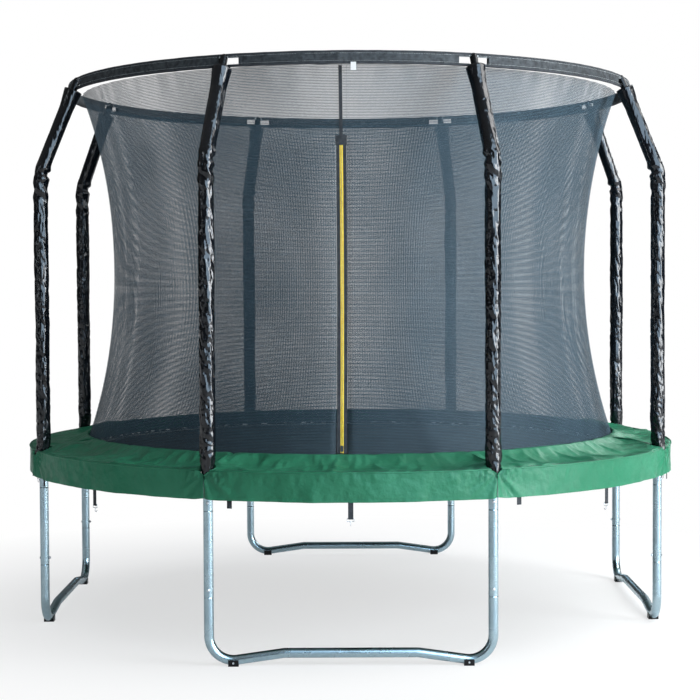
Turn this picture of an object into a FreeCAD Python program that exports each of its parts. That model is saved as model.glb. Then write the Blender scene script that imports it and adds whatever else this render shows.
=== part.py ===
"""A round garden trampoline with an inward-curved safety net on eight padded poles.

Millimetres, +Z up. The origin is on the ground at the centre of the frame, and -Y is the
side with the zipped door. Eight legs stand in four pairs, each pair joined at the ground by
one bent tube. Each sub-part is written as one STEP file to the folder parts.
"""

import FreeCAD, Part
import math
import os

V = FreeCAD.Vector
UP = V(0, 0, 1)
ORIGIN = V(0, 0, 0)

# Frame and legs
LEGS = 8
PAIRS = 4
FRAME_R = 1505.0  # centreline of the frame ring and of the legs
RAIL_Z = 760.0
TUBE_R = 20.0
TUBE_WALL = 1.5
FIT = 0.2  # gap between a tube and the one that it slides into
SWAGE_LENGTH = 60.0
SWAGE_CONE = 4.0
SLEEVE_HALF = 60.0  # half the length of a T-socket's sleeve, along the ring
SLEEVE_WALL = 2.0
STUB_BOTTOM_Z = 633.0
MID_JOINT_Z = 281.0
TOP_BOLT_Z = 665.0
MID_BOLT_Z = 310.0
LEG_HOLE_R = 3.2
SPRING_HOLE_R = 3.5

# Leg base, in its own upright plane
BEND_R = 99.0
FOOT_TUBE_Z = 23.0
BAR_RISE = 28.0
RAMP_ANGLE = 8.0
RAMP_FILLET_R = 120.0
FOOT_LENGTH = 42.0
FOOT_HALF_WIDTH = 22.5
FOOT_TOP_Z = 26.0
FOOT_SCREW_Z = 14.0

# Enclosure poles
POLE_R = 14.0
POLE_WALL = 1.2
POLE_BOTTOM_Z = 786.0
POLE_SOCKET_TOP_Z = 860.0
POLE_BOLT_Z = 820.0
POLE_HOLE_R = 2.7
POLE_JOINT_Z = 1400.0
POLE_BEND_Z = 2050.0
POLE_BEND_R = 150.0
RING_R = 1333.0
RING_Z = 2474.0
ROD_R = 5.5
CAP_R = 16.0
FOAM_R = 27.0
COVER_R = 32.0
COVER_WALL = 3.0
COVER_BOTTOM_Z = 785.0
COVER_SHORT_OF_RING = 59.0  # along the pole's line, as the next four
FOAM_SHORT_OF_RING = 75.0
POLE_SHORT_OF_RING = 18.0
CAP_LENGTH = 67.0
CAP_BORE_END = 17.0
DOME_CENTRE = 3.0

# Net: its upright section is an arc that bulges towards the middle
NET_WAIST_R = 1130.0
NET_WAIST_Z = 1613.0
NET_ARC_R = 2461.0
NET_WALL = 2.0
NET_SECTORS = 16
NET_LEVELS = [765.0, 1100.0, 1435.0, 1770.0, 2100.0, 2434.0]
SLEEVE_TOP_Z = 2482.5
SLEEVE_BOTTOM_Z = 2434.0
SLEEVE_HALF_DEPTH = 8.5
CLOTH = 1.0
SLEEVE_GAP = 0.9  # degrees from a pole to the sleeve's end, as the next two
WINDOW_START = 1.1
WINDOW_END = 2.9

# Door
DOOR_AZIMUTH = -91.6
DOOR_HALF_ANGLE = 1.15
DOOR_CLEARANCE = 3.0  # between the net and the ends of the door's slot
ZIP_BOTTOM_Z = 848.0
ZIP_TOP_Z = 2118.0
HEADER_TOP_Z = 2158.0
BAND_HALF = 21.5
TAPE_HALF = 7.0
CHAIN_HALF = 3.2
CHAIN_GAP = 0.8  # half the gap between the two rows of teeth
SLIDER_LENGTH = 22.0
STOP_LENGTH = 6.0
PULL_PIN_R = 1.0
PULL_PIN_OUT = 6.5
PULL_LENGTH = 18.0

# Mat, springs and pad
MAT_R = 1273.0
MAT_HALF = 2.0
WEBBING_INNER_R = 1236.0
WEBBING_OUTER_R = 1286.0
SPRINGS = 64
WIRE_R = 1.9
HOOK_R = 5.5
APEX_R = 1311.0
V_RING_LENGTH = 32.0
COIL_R = 7.0
COIL_START_R = 1340.0
COIL_END_R = 1472.0
PAD_OUTER_R = 1534.0
PAD_INNER_R = 1260.0
PAD_SECTORS = 16
PAD_SEAM_Z = 796.0
PAD_INNER_Z = 847.0
SKIRT_BOTTOM_Z = 679.0
SKIRT_WALL = 3.0
STRAP_BOTTOM_Z = 612.0
SHORT_STRAP_BOTTOM_Z = 647.0
STRAP_HALF = 10.5

LEG_ANGLES = [-112.5 + 45.0 * i for i in range(LEGS)]
PAIR_ANGLE = 90.0 / PAIRS
PLANE_Y = FRAME_R * math.cos(math.radians(PAIR_ANGLE))
LEG_U = FRAME_R * math.sin(math.radians(PAIR_ANGLE))
FOOT_U = LEG_U - BEND_R  # from the middle of the bar to a foot
POLE_TILT = math.atan2(FRAME_R - RING_R, RING_Z - POLE_BEND_Z)
POLE_RUN = math.hypot(FRAME_R - RING_R, RING_Z - POLE_BEND_Z)
NET_CENTRE_R = NET_WAIST_R + NET_ARC_R


def spin(shape, degrees):
    """The shape turned about the vertical axis."""
    turned = shape.copy()
    turned.rotate(ORIGIN, UP, degrees)
    return turned


def around(shape, angles):
    """One copy of the shape at each angle."""
    return [spin(shape, a) for a in angles]


def cylinder(radius, start, end):
    """A round bar from one point to another."""
    return Part.makeCylinder(radius, (end - start).Length, start, end - start)


def block(low, high):
    """A box between two corners."""
    return Part.makeBox(high[0] - low[0], high[1] - low[1], high[2] - low[2], V(*low))


def lathe(outline, sweep=360.0):
    """A section of (radius, height) points turned about the vertical axis."""
    wire = Part.makePolygon([V(r, 0, z) for r, z in outline + outline[:1]])
    return Part.Face(wire).revolve(ORIGIN, UP, sweep)


def ring_sector(r0, r1, z0, z1, start, end):
    """A sector of a flat ring between two angles."""
    sector = lathe([(r0, z0), (r1, z0), (r1, z1), (r0, z1)], sweep=end - start)
    return spin(sector, start)


def ring_bar(path_r, radius, z, half_angle):
    """A round bar bent along a circle about the vertical axis, centred on angle 0.

    Its surface's seam runs along the outer side, clear of every hole and stub.
    """
    centre = V(path_r, 0, z)
    section = Part.makeCircle(radius, centre, V(0, 1, 0))
    seam = section.Vertexes[0].Point - centre
    section.rotate(centre, V(0, 1, 0), -math.degrees(math.atan2(-seam.z, seam.x)))
    bar = Part.Face(Part.Wire(section)).revolve(ORIGIN, UP, 2 * half_angle)
    return spin(bar, -half_angle)


def swept(edges, radius):
    """A round bar along joined lines and arcs."""
    path = Part.Wire(edges)
    first = edges[0]
    start = first.valueAt(first.FirstParameter)
    tangent = first.tangentAt(first.FirstParameter)
    section = Part.Wire(Part.makeCircle(radius, start, tangent))
    return path.makePipeShell([section], True, False)


def line(a, b):
    return Part.LineSegment(a, b).toShape()


def arc(a, middle, b):
    return Part.Arc(a, middle, b).toShape()


def rounded(points, radius):
    """The edges of an open path through the points, with an arc at each corner."""
    edges = []
    start = points[0]
    for before, corner, after in zip(points, points[1:], points[2:]):
        back = (before - corner).normalize()
        ahead = (after - corner).normalize()
        half = back.getAngle(ahead) / 2
        inward = (back + ahead).normalize()
        entry = corner + back * (radius / math.tan(half))
        leave = corner + ahead * (radius / math.tan(half))
        edges.append(line(start, entry))
        edges.append(arc(entry, corner + inward * (radius / math.sin(half) - radius), leave))
        start = leave
    return edges + [line(start, points[-1])]


def front_leg(side):
    """Where the front pair's leg stands, on the left (-1) or the right (1)."""
    return V(side * LEG_U, -PLANE_Y, 0)


def hole_across(side, z, radius):
    """A drill through a front leg at right angles to its pair's plane."""
    at = front_leg(side) + V(0, 0, z)
    return cylinder(radius, at - V(0, 30, 0), at + V(0, 30, 0))


def leg_path():
    """The centreline of a leg base, from the left joint round the ground bar to the right."""
    ramp = math.radians(RAMP_ANGLE)
    centre_z = FOOT_TUBE_Z + BEND_R
    bend_end = (FOOT_U - BEND_R * math.sin(ramp), centre_z - BEND_R * math.cos(ramp))
    bar_z = FOOT_TUBE_Z + BAR_RISE
    corner_u = bend_end[0] - (bar_z - bend_end[1]) / math.tan(ramp)
    reach = RAMP_FILLET_R * math.tan(ramp / 2)
    middle = math.pi / 4 - ramp / 2
    half = [
        (LEG_U, MID_JOINT_Z - FIT - SWAGE_CONE),
        (LEG_U, centre_z),
        (FOOT_U + BEND_R * math.cos(middle), centre_z - BEND_R * math.sin(middle)),
        bend_end,
        (corner_u + reach * math.cos(ramp), bar_z - reach * math.sin(ramp)),
        (
            corner_u - reach + RAMP_FILLET_R * math.sin(ramp / 2),
            bar_z - RAMP_FILLET_R * (1 - math.cos(ramp / 2)),
        ),
        (corner_u - reach, bar_z),
    ]
    right = [V(u, -PLANE_Y, z) for u, z in half]
    left = [V(-u, -PLANE_Y, z) for u, z in half]
    return [
        line(left[0], left[1]),
        arc(left[1], left[2], left[3]),
        line(left[3], left[4]),
        arc(left[4], left[5], left[6]),
        line(left[6], right[6]),
        arc(right[6], right[5], right[4]),
        line(right[4], right[3]),
        arc(right[3], right[2], right[1]),
        line(right[1], right[0]),
    ]


def swaged_end(shoulder_z, outer, wall):
    """The narrowed end of a tube, which slides into the next one and stops at its shoulder."""
    neck = outer - wall - FIT
    cone_z = shoulder_z - SWAGE_CONE
    top_z = shoulder_z + SWAGE_LENGTH
    return [
        (outer, cone_z),
        (neck, shoulder_z),
        (neck, top_z),
        (neck - wall, top_z),
        (neck - wall, shoulder_z),
        (outer - wall, cone_z),
    ]


def leg_base():
    """The front bent tube with its two upright necks and their bolt holes."""
    path = leg_path()
    tube = swept(path, TUBE_R).cut(swept(path, TUBE_R - TUBE_WALL))
    neck = lathe(swaged_end(MID_JOINT_Z - FIT, TUBE_R, TUBE_WALL))
    for side in (-1, 1):
        tube = tube.fuse(neck.translated(front_leg(side)))
        tube = tube.cut(hole_across(side, MID_BOLT_Z, LEG_HOLE_R))
        tube = tube.cut(foot_screw_hole(side))
    return tube


def foot_screw_hole(side):
    at = V(side * FOOT_U, -PLANE_Y, FOOT_SCREW_Z)
    return cylinder(2.0, at - V(0, 30, 0), at)


def foot_cap(side):
    """A plastic shoe that cups the lowest bend of a leg base, flat underneath."""
    at = V(side * FOOT_U, -PLANE_Y, 0)
    shoe = block(
        (at.x - FOOT_LENGTH / 2, at.y - FOOT_HALF_WIDTH, 0),
        (at.x + FOOT_LENGTH / 2, at.y + FOOT_HALF_WIDTH, FOOT_TOP_Z),
    )
    return shoe.cut(swept(leg_path(), TUBE_R + FIT)).cut(foot_screw_hole(side))


def foot_screw(side):
    """A pan-head screw through the shoe's outer side into the tube."""
    at = V(side * FOOT_U, -PLANE_Y - FOOT_HALF_WIDTH, FOOT_SCREW_Z)
    return cylinder(4.0, at - V(0, 2.5, 0), at).fuse(cylinder(1.9, at, at + V(0, 12, 0)))


def leg_extension(side):
    """The straight tube between a leg base and its T-socket."""
    shoulder = STUB_BOTTOM_Z - FIT
    outline = [(TUBE_R - TUBE_WALL, MID_JOINT_Z), (TUBE_R, MID_JOINT_Z)]
    tube = lathe(outline + swaged_end(shoulder, TUBE_R, TUBE_WALL)).translated(front_leg(side))
    for z in (MID_BOLT_Z, TOP_BOLT_Z):
        tube = tube.cut(hole_across(side, z, LEG_HOLE_R))
    return tube


def bolt(at, direction, grip, head_r=6.5, shank_r=3.0):
    """A domed bolt with its nut, clamping a tube of radius grip."""
    head_start = at - direction * grip
    dome = Part.makeSphere(head_r * 1.2, head_start + direction * head_r * 0.66)
    head = cylinder(head_r, head_start - direction * 4, head_start).common(dome)
    shank = cylinder(shank_r, head_start, at + direction * (grip + 8))
    nut = hex_nut(at + direction * grip, direction, head_r, 5.0)
    return head.fuse(shank).fuse(nut)


def hex_nut(at, direction, radius, height):
    """A hexagon across the given corner radius."""
    side = direction.cross(UP)
    corners = []
    for i in range(7):
        turn = math.radians(60 * i)
        corners.append(at + side * (radius * math.cos(turn)) + UP * (radius * math.sin(turn)))
    return Part.Face(Part.makePolygon(corners)).extrude(direction * height)


def leg_bolts():
    """The bolts of the front pair's four leg joints, and its two foot screws."""
    bolts = []
    for side in (-1, 1):
        for z in (MID_BOLT_Z, TOP_BOLT_Z):
            bolts.append(bolt(front_leg(side) + V(0, 0, z), V(0, 1, 0), TUBE_R))
        bolts.append(foot_screw(side))
    return bolts


def spring_angles():
    pitch = 360.0 / SPRINGS
    return [LEG_ANGLES[0] + pitch * (i + 0.5) for i in range(SPRINGS)]


def top_rail(index):
    """One arc of the frame ring, with the holes for its springs."""
    half = 180.0 / LEGS - 0.3
    middle = LEG_ANGLES[index] + 180.0 / LEGS
    bore = ring_bar(FRAME_R, TUBE_R - TUBE_WALL, RAIL_Z, half)
    rail = spin(ring_bar(FRAME_R, TUBE_R, RAIL_Z, half).cut(bore), middle)
    drill = cylinder(SPRING_HOLE_R, V(FRAME_R - 30, 0, RAIL_Z), V(FRAME_R - 10, 0, RAIL_Z))
    inside = [a for a in spring_angles() if abs(a - middle) < half]
    return rail.cut(Part.makeCompound(around(drill, inside)))


def t_socket(index):
    """The sleeve that joins two rails, with a stub down to the leg and one up to the pole."""
    half = math.degrees(SLEEVE_HALF / FRAME_R)
    outer = TUBE_R + FIT + SLEEVE_WALL
    sleeve = ring_bar(FRAME_R, outer, RAIL_Z, half)
    bore = ring_bar(FRAME_R, TUBE_R + FIT, RAIL_Z, half + 1)
    at = V(FRAME_R, 0, 0)
    stub = cylinder(TUBE_R, at + UP * STUB_BOTTOM_Z, at + UP * RAIL_Z)
    post = cylinder(CAP_R, at + UP * RAIL_Z, at + UP * POLE_SOCKET_TOP_Z)
    body = sleeve.fuse(stub).fuse(post).cut(bore)
    stub_top = RAIL_Z - outer - 1
    body = body.cut(cylinder(TUBE_R - TUBE_WALL, at + UP * STUB_BOTTOM_Z, at + UP * stub_top))
    post_bottom = V(FRAME_R, 0, POLE_BOTTOM_Z)
    body = body.cut(cylinder(POLE_R + FIT, post_bottom, at + UP * POLE_SOCKET_TOP_Z))
    body = body.cut(pole_bolt_hole())
    side = -1 if index % 2 == 0 else 1
    turn = 90.0 * (index // 2)
    leg_hole = spin(hole_across(side, TOP_BOLT_Z, LEG_HOLE_R), turn)
    return spin(body, LEG_ANGLES[index]).cut(leg_hole)


def pole_bolt_hole():
    at = V(FRAME_R, 0, POLE_BOLT_Z)
    return cylinder(POLE_HOLE_R, at - V(30, 0, 0), at + V(30, 0, 0))


def pole_bolt():
    """The bolt that holds a pole in its socket, at angle 0."""
    at = V(FRAME_R, 0, POLE_BOLT_Z)
    return bolt(at, V(-1, 0, 0), CAP_R, head_r=5.0, shank_r=2.5)


def lower_pole():
    """The straight lower half of a pole, at angle 0."""
    inner = POLE_R - POLE_WALL
    outline = [(inner, POLE_BOTTOM_Z), (POLE_R, POLE_BOTTOM_Z)]
    outline = outline + swaged_end(POLE_JOINT_Z - FIT, POLE_R, POLE_WALL)
    return lathe(outline).translated(V(FRAME_R, 0, 0)).cut(pole_bolt_hole())


def pole_path(bottom_z, short_of_ring):
    """The centreline of a pole from bottom_z, round its bend, to near the ring, at angle 0."""
    tangent = POLE_BEND_R * math.tan(POLE_TILT / 2)
    lean = V(-math.sin(POLE_TILT), 0, math.cos(POLE_TILT))
    corner = V(FRAME_R, 0, POLE_BEND_Z)
    start = corner - UP * tangent
    middle_turn = POLE_TILT / 2
    centre = start - V(POLE_BEND_R, 0, 0)
    middle = centre + V(math.cos(middle_turn), 0, math.sin(middle_turn)) * POLE_BEND_R
    bend_end = corner + lean * tangent
    end = corner + lean * (POLE_RUN - short_of_ring)
    return [line(V(FRAME_R, 0, bottom_z), start), arc(start, middle, bend_end), line(bend_end, end)]


def bent_tube(bottom_z, short_of_ring, outer, inner):
    path = pole_path(bottom_z, short_of_ring)
    return swept(path, outer).cut(swept(path, inner))


def pole_cap():
    """The domed plug on a pole, bored for the ring's rod, at angle 0."""
    lean = V(-math.sin(POLE_TILT), 0, math.cos(POLE_TILT))
    ring = V(RING_R, 0, RING_Z)
    low = ring - lean * CAP_LENGTH
    dome = ring - lean * DOME_CENTRE
    body = cylinder(CAP_R, low, dome).fuse(Part.makeSphere(CAP_R, dome))
    body = body.cut(cylinder(POLE_R + FIT, low, ring - lean * CAP_BORE_END))
    return body.cut(ring_bar(RING_R, ROD_R + 0.3, RING_Z, 2))


def net_r(z):
    """The net's radius at a height."""
    return NET_CENTRE_R - math.sqrt(NET_ARC_R**2 - (z - NET_WAIST_Z) ** 2)


def facet(r0, z0, r1, z1, half_angle, wall):
    """A flat tile of cloth between two heights, centred on angle 0, thickening inwards."""
    turn = math.radians(half_angle)
    corners = []
    for r, z in ((r0, z0), (r1, z1)):
        for depth in (0.0, wall):
            for side in (-1, 1):
                reach = r - depth
                corners.append(V(reach * math.cos(turn), side * reach * math.sin(turn), z))
    sides = [(0, 1, 3, 2), (4, 6, 7, 5), (0, 4, 5, 1), (2, 3, 7, 6), (0, 2, 6, 4), (1, 5, 7, 3)]
    faces = []
    for side in sides:
        loop = [corners[i] for i in side]
        faces.append(Part.Face(Part.makePolygon(loop + loop[:1])))
    tile = Part.Solid(Part.Shell(faces))
    if tile.Volume < 0:
        tile.reverse()
    return tile


def net_column(levels, half_angle):
    """Tiles of the net one above another, centred on angle 0."""
    return [facet(net_r(a), a, net_r(b), b, half_angle, NET_WALL) for a, b in zip(levels, levels[1:])]


def enclosure_net():
    """The net in flat tiles, with narrow ones above and below the door's zip."""
    step = 360.0 / NET_SECTORS
    tiles = []
    for i in range(NET_SECTORS):
        beside_door = DOOR_HALF_ANGLE if i in (0, NET_SECTORS - 1) else 0.0
        shift = beside_door / 2 if i == 0 else -beside_door / 2
        column = net_column(NET_LEVELS, (step - beside_door) / 2)
        middle = DOOR_AZIMUTH + step * (i + 0.5) + shift
        for tile in column:
            tiles.append(spin(tile, middle))
    below = [NET_LEVELS[0], ZIP_BOTTOM_Z - DOOR_CLEARANCE]
    above = [HEADER_TOP_Z + DOOR_CLEARANCE, NET_LEVELS[-1]]
    for levels in (below, above):
        for tile in net_column(levels, DOOR_HALF_ANGLE):
            tiles.append(spin(tile, DOOR_AZIMUTH))
    return tiles


def net_top_sleeve():
    """The webbing tunnel round the ring, open at each pole and with a window on both sides."""
    low, high = RING_R - SLEEVE_HALF_DEPTH, RING_R + SLEEVE_HALF_DEPTH
    first, last = LEG_ANGLES[0], LEG_ANGLES[1]
    start, end = first + SLEEVE_GAP, last - SLEEVE_GAP
    tunnel = ring_sector(low, high, SLEEVE_BOTTOM_Z, SLEEVE_TOP_Z, start, end)
    inside = ring_sector(
        low + CLOTH, high - CLOTH, SLEEVE_BOTTOM_Z + CLOTH, SLEEVE_TOP_Z - CLOTH, start, end
    )
    window_low, window_high = SLEEVE_BOTTOM_Z + 8, SLEEVE_TOP_Z - 14
    segment = tunnel.cut(inside)
    for a, b in ((first + WINDOW_START, first + WINDOW_END), (last - WINDOW_END, last - WINDOW_START)):
        segment = segment.cut(ring_sector(low - 5, high + 5, window_low, window_high, a, b))
    return around(segment, [45.0 * i for i in range(LEGS)])


def ring_rods():
    """The eight rods of the top ring, each through one pole cap."""
    return around(ring_bar(RING_R, ROD_R, RING_Z, 180.0 / LEGS - 0.02), LEG_ANGLES)


def ring_ferrules():
    """The short tubes that join the rods halfway between poles."""
    half = math.degrees(35.0 / RING_R)
    bore = ring_bar(RING_R, ROD_R + 0.2, RING_Z, half)
    ferrule = ring_bar(RING_R, ROD_R + 1.4, RING_Z, half).cut(bore)
    return around(ferrule, [a + 22.5 for a in LEG_ANGLES])


def net_point(z, out):
    """A point of the door's middle line at angle 0, at a distance outside the net."""
    turn = math.asin((z - NET_WAIST_Z) / NET_ARC_R)
    reach = NET_ARC_R - out
    return V(NET_CENTRE_R - reach * math.cos(turn), 0, NET_WAIST_Z + reach * math.sin(turn))


def strip(z0, z1, y0, y1, inside, outside):
    """A curved strip that follows the net up the door, at angle 0.

    inside and outside are its two faces' distances from the net, positive outwards.
    """
    middle = (z0 + z1) / 2
    near = [net_point(z, outside) for z in (z0, middle, z1)]
    far = [net_point(z, inside) for z in (z0, middle, z1)]
    edges = [arc(*near), line(near[2], far[2]), arc(far[2], far[1], far[0]), line(far[0], near[0])]
    section = Part.Face(Part.Wire(edges)).translated(V(0, y0, 0))
    return section.extrude(V(0, y1 - y0, 0))


def zip_band():
    """The two black webbing bands that bind the edges of the door."""
    bands = []
    for side in (-1, 1):
        low, high = sorted((side * BAND_HALF, side * (TAPE_HALF + FIT)))
        bands.append(strip(ZIP_BOTTOM_Z, ZIP_TOP_Z, low, high, -0.8, 0.8))
    return around(Part.makeCompound(bands), [DOOR_AZIMUTH])


def zip_coil():
    """The two yellow tapes with their rows of teeth, and the bottom stop across them."""
    parts = []
    for side in (-1, 1):
        low, high = sorted((side * TAPE_HALF, side * CHAIN_GAP))
        tape = strip(ZIP_BOTTOM_Z, ZIP_TOP_Z, low, high, -0.6, 0.6)
        low, high = sorted((side * CHAIN_HALF, side * CHAIN_GAP))
        teeth = strip(ZIP_BOTTOM_Z + STOP_LENGTH, ZIP_TOP_Z - 2, low, high, -1.6, 1.6)
        parts.append(tape.fuse(teeth))
    stop = strip(ZIP_BOTTOM_Z, ZIP_BOTTOM_Z + STOP_LENGTH, -5, 5, 0.6, 2.2)
    joined = parts[0].fuse(stop).fuse(parts[1])
    return spin(joined, DOOR_AZIMUTH)


def zip_header():
    """The patch over the top of the zip, and the strap from it up to the ring's sleeve."""
    patch = strip(ZIP_TOP_Z, HEADER_TOP_Z, -BAND_HALF - 2, BAND_HALF + 2, -2, 2)
    low_r = net_r(HEADER_TOP_Z) + 4
    high_r = net_r(SLEEVE_BOTTOM_Z) + 4
    angle = math.degrees(7.0 / low_r)
    strap = facet(low_r, HEADER_TOP_Z, high_r, SLEEVE_BOTTOM_Z, angle, 1.5)
    return [spin(patch, DOOR_AZIMUTH), spin(strap, DOOR_AZIMUTH)]


def slider_low_z():
    return ZIP_BOTTOM_Z + STOP_LENGTH + 0.5


def pull_pin(out):
    """The middle of a pull's pin, at angle 0."""
    return net_point(slider_low_z() + SLIDER_LENGTH * 0.62, out)


def zip_slider():
    """The slider's two plates, the bridge between them and a pin in two ears on each side."""
    low = slider_low_z()
    high = low + SLIDER_LENGTH
    body = strip(low, high, -0.5, 0.5, -2.2, 2.2)
    for sign in (-1, 1):
        faces = sorted((sign * 2.0, sign * 3.5))
        body = body.fuse(strip(low, high, -6, 6, *faces))
        pin = pull_pin(sign * PULL_PIN_OUT)
        for ear in (-1, 1):
            a, b = sorted((ear * 3.3, ear * 4.8))
            height = sorted((sign * 3.4, sign * 8.0))
            body = body.fuse(strip(low + 9, high - 4, a, b, *height))
        body = body.fuse(cylinder(PULL_PIN_R, pin - V(0, 3.6, 0), pin + V(0, 3.6, 0)))
    return spin(body, DOOR_AZIMUTH)


def zip_pull(out, direction):
    """A pull tab with an eye on the slider's pin, pointing along direction."""
    pin = pull_pin(out)
    across = direction.cross(V(0, 1, 0))
    half = V(0, 3, 0)
    eye = cylinder(2.4, pin - half, pin + half)
    corner = pin + direction * 1.5 - half - across * 0.6
    blade_edges = [corner, corner + half * 2, corner + half * 2 + direction * PULL_LENGTH]
    blade_edges += [corner + direction * PULL_LENGTH, corner]
    blade = Part.Face(Part.makePolygon(blade_edges)).extrude(across * 1.2)
    bore = cylinder(PULL_PIN_R + 0.08, pin - half * 2, pin + half * 2)
    return spin(eye.fuse(blade).cut(bore), DOOR_AZIMUTH)


def outside_pull():
    """Rests against the net, so it follows the net's slope downwards."""
    slope = net_point(slider_low_z(), 0) - net_point(slider_low_z() + SLIDER_LENGTH, 0)
    return zip_pull(PULL_PIN_OUT, slope.normalize())


def inside_pull():
    """Hangs straight down, because the net slopes away below it."""
    return zip_pull(-PULL_PIN_OUT, V(0, 0, -1))


def jumping_mat():
    return Part.makeCylinder(MAT_R, 2 * MAT_HALF, V(0, 0, RAIL_Z - MAT_HALF))


def mat_webbing():
    """The webbing folded over the mat's edge, slotted for each V-ring's two sides."""
    fold = 1.8
    low, high = RAIL_Z - MAT_HALF, RAIL_Z + MAT_HALF
    wall_r = WEBBING_OUTER_R - fold
    outline = [
        (WEBBING_INNER_R, low - fold),
        (WEBBING_OUTER_R, low - fold),
        (WEBBING_OUTER_R, high + fold),
        (WEBBING_INNER_R, high + fold),
        (WEBBING_INNER_R, high),
        (wall_r, high),
        (wall_r, low),
        (WEBBING_INNER_R, low),
    ]
    slots = []
    for side in (-1, 1):
        near, far = sorted((side * 13.0, side * 23.0))
        slots.append(block((wall_r - 2, near, low), (WEBBING_OUTER_R + 2, far, high)))
    pair = Part.makeCompound(slots)
    return lathe(outline).cut(Part.makeCompound(around(pair, spring_angles())))


def v_ring():
    """A wire ring with its long side in the webbing and its short side in a spring's hook.

    The wire's two ends meet in the middle of the long side.
    """
    back = APEX_R - V_RING_LENGTH
    half = [(back, 0.5), (back, 20), (APEX_R, 8)]
    route = half + [(x, -y) for x, y in reversed(half)]
    return swept(rounded([V(x, y, RAIL_Z) for x, y in route], 4.0), WIRE_R)


def spring():
    """A spring as a plain bar, with a hook round the V-ring and a tail in the rail's hole."""
    hook = Part.makeTorus(HOOK_R, WIRE_R, V(APEX_R, 0, RAIL_Z), V(0, 1, 0))
    neck = cylinder(WIRE_R, V(APEX_R + HOOK_R, 0, RAIL_Z), V(COIL_START_R, 0, RAIL_Z))
    coil = cylinder(COIL_R, V(COIL_START_R, 0, RAIL_Z), V(COIL_END_R, 0, RAIL_Z))
    tail = cylinder(WIRE_R, V(COIL_END_R, 0, RAIL_Z), V(FRAME_R - TUBE_R + 5, 0, RAIL_Z))
    return hook.fuse(neck).fuse(coil).fuse(tail)


def safety_pad():
    """The foam ring in sectors, notched round each pole, and the skirt that hangs from it."""
    step = 360.0 / PAD_SECTORS
    under_z = RAIL_Z + TUBE_R + FIT + SLEEVE_WALL + 2.8
    outline = [
        (PAD_INNER_R + 28, RAIL_Z + 7),
        (PAD_OUTER_R, under_z),
        (PAD_OUTER_R, PAD_SEAM_Z),
        (PAD_INNER_R, PAD_INNER_Z),
    ]
    notch = cylinder(COVER_R + 4, V(FRAME_R, 0, SKIRT_BOTTOM_Z), V(FRAME_R, 0, 900))
    notches = Part.makeCompound(around(notch, LEG_ANGLES))
    foam = lathe(outline, sweep=step)
    skirt = ring_sector(
        PAD_OUTER_R - SKIRT_WALL, PAD_OUTER_R, SKIRT_BOTTOM_Z, under_z, 0.0, step
    )
    parts = []
    for i in range(PAD_SECTORS):
        turn = LEG_ANGLES[0] + step * i
        parts.append(spin(foam, turn).cut(notches))
        parts.append(spin(skirt, turn))
    return parts


def strap(bottom_z, hemmed):
    """A flat webbing strap inside the skirt, at angle 0, with a hem for its hook."""
    out = PAD_OUTER_R - SKIRT_WALL - 0.5
    tape = block((out - 1.5, -STRAP_HALF, bottom_z), (out, STRAP_HALF, 784.0))
    if not hemmed:
        return tape
    hem = block((out - 5, -STRAP_HALF, bottom_z), (out, STRAP_HALF, bottom_z + 8))
    middle = V(out - 2.5, 0, bottom_z + 4)
    reach = V(0, STRAP_HALF + 2, 0)
    return tape.fuse(hem).cut(cylinder(1.7, middle - reach, middle + reach))


def pad_straps():
    """A hooked strap halfway between legs, and a short one beside each leg."""
    hooked = around(strap(STRAP_BOTTOM_Z, True), [a + 22.5 for a in LEG_ANGLES])
    short = around(strap(SHORT_STRAP_BOTTOM_Z, False), [a + 4.0 for a in LEG_ANGLES])
    return hooked + short


def strap_hook():
    """One wire bent into a buckle through a strap's hem and on down into a hook, at angle 0."""
    x = PAD_OUTER_R - SKIRT_WALL - 3.0
    top = STRAP_BOTTOM_Z + 4
    half = STRAP_HALF + 3
    low = top - 12
    route = [(3.5, low), (half, low), (half, top), (-half, top), (-half, low), (0, low), (0, low - 12)]
    edges = rounded([V(x, y, z) for y, z in route], 2.5)
    shank_end = V(x, 0, low - 12)
    centre = shank_end - V(5, 0, 0)
    edges.append(arc(shank_end, centre - V(0, 0, 5), centre - V(5, 0, 0)))
    return swept(edges, 1.5)


def save(node, shapes):
    """Writes one node; a list is a group of separate solids."""
    solids = []
    for shape in shapes if isinstance(shapes, list) else [shapes]:
        solids.extend(shape.Solids)
    for solid in solids:
        if not solid.isValid() or solid.Volume <= 0:
            raise ValueError("bad solid in " + node)
    whole = solids[0] if len(solids) == 1 else Part.makeCompound(solids)
    whole.exportStep("parts/" + node + ".step")
    print(node, len(solids), "solids", round(whole.Volume / 1000, 1), "cm3")


def quarter_turns(shapes):
    """The front pair's shapes repeated for all four pairs."""
    turned = []
    for k in range(PAIRS):
        for shape in shapes:
            turned.append(spin(shape, 90.0 * k))
    return turned


def save_legs():
    base = leg_base()
    extensions = [leg_extension(-1), leg_extension(1)]
    for k in range(PAIRS):
        save("leg_base_%d" % (k + 1), spin(base, 90.0 * k))
        for side in range(2):
            save("leg_extension_%d" % (2 * k + side + 1), spin(extensions[side], 90.0 * k))
    save("foot_caps", quarter_turns([foot_cap(-1), foot_cap(1)]))
    save("leg_bolts", quarter_turns(leg_bolts()))


def save_frame():
    for i in range(LEGS):
        save("top_rail_%d" % (i + 1), top_rail(i))
    save("t_sockets", [t_socket(i) for i in range(LEGS)])


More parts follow.
